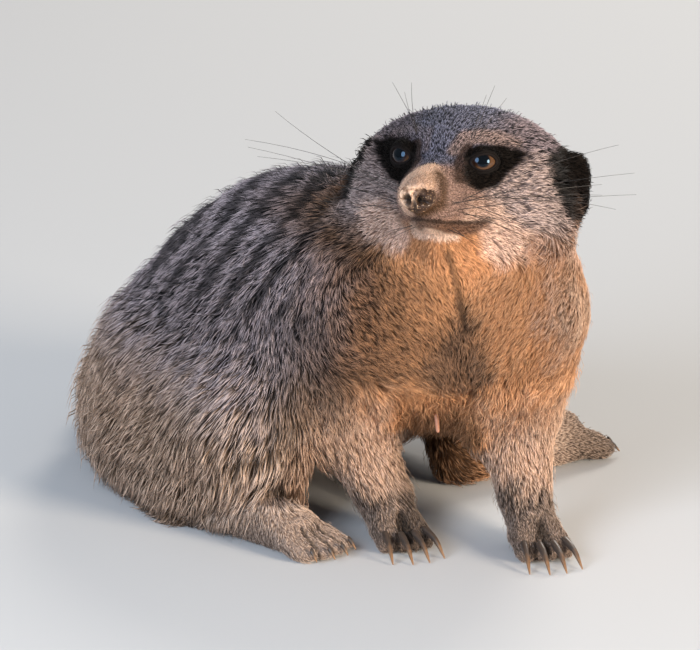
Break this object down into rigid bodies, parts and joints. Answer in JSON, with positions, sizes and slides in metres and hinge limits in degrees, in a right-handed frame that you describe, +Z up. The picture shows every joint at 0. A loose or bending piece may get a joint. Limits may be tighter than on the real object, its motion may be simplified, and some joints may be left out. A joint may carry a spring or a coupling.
{
  "type": "meerkat",
  "caption": "Life-size still model of a sitting meerkat, forefeet planted, head raised and turned aside, tail curled behind on the floor.",
  "frame": {"origin": "on the floor, under the middle of the outline's bounding box", "axes": "+Z up; the chest and face look towards -Y, the hindquarters lie towards -X and +Y; +X is to the animal's left"},
  "size_m": [0.1614, 0.2012, 0.1241],
  "materials": {
    "coat": "grizzled fur, tan underneath and grey-brown above",
    "dark_coat": "short black-brown fur",
    "nose": "moist bare skin",
    "eye": "polished, dark brown iris",
    "claw": "dark horn"
  },
  "bodies": {
    "root": {"head": "coat", "neck": "coat", "trunk": "coat", "nose": "nose", "eye_left": "eye", "ear_left": "dark_coat", "eye_right": "eye", "ear_right": "dark_coat", "fore_left_forearm": "coat", "fore_left_paw": "coat", "fore_left_claw_1": "claw", "fore_left_claw_2": "claw", "fore_left_claw_3": "claw", "fore_left_claw_4": "claw", "fore_right_forearm": "coat", "fore_right_paw": "coat", "fore_right_claw_1": "claw", "fore_right_claw_2": "claw", "fore_right_claw_3": "claw", "fore_right_claw_4": "claw", "hind_left_thigh": "coat", "hind_left_shank": "coat", "hind_left_foot": "coat", "hind_left_claw_1": "claw", "hind_left_claw_2": "claw", "hind_left_claw_3": "claw", "hind_left_claw_4": "claw", "hind_right_thigh": "coat", "hind_right_shank": "coat", "hind_right_foot": "coat", "hind_right_claw_1": "claw", "hind_right_claw_2": "claw", "hind_right_claw_3": "claw", "hind_right_claw_4": "claw", "tail_base": "coat", "tail_middle": "coat", "tail_tip": "dark_coat"}
  },
  "joints": []
}
